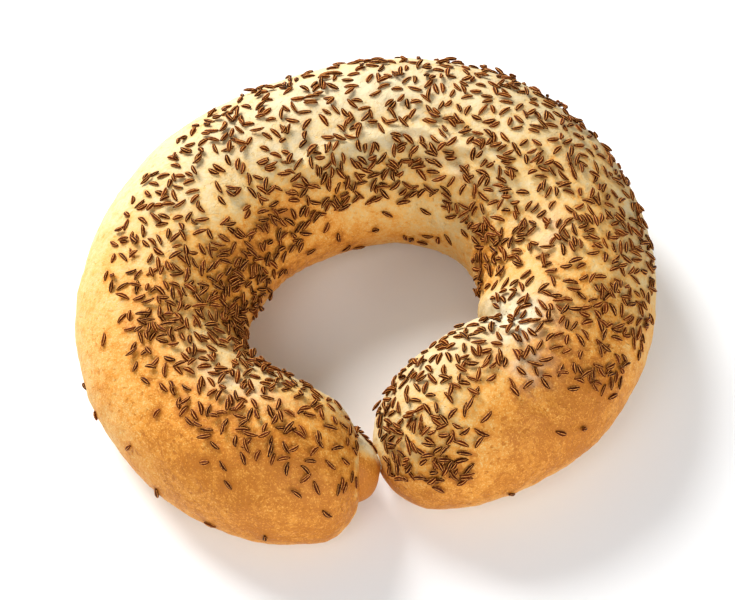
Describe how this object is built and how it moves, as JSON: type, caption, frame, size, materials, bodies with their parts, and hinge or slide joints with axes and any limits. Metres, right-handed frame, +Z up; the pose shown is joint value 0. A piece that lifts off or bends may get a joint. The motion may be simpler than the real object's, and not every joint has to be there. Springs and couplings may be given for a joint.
{
  "type": "caraway seed bread ring",
  "caption": "Soft bread ring: a thick roll of dough bent round a hole, its ends baked together, seeds on top.",
  "frame": {"origin": "on the surface the bread rests on, below the middle of its box", "axes": "+X to the right, +Y from the joined ends across the hole to the rear, +Z up"},
  "size_m": [0.1708, 0.1606, 0.0494],
  "materials": {
    "crust": "soft baked crust, pale cream where the dough stretched and golden brown low on the sides, satin to matt, with dark brown ribbed seeds"
  },
  "bodies": {
    "root": {"bread": "crust"}
  },
  "joints": []
}
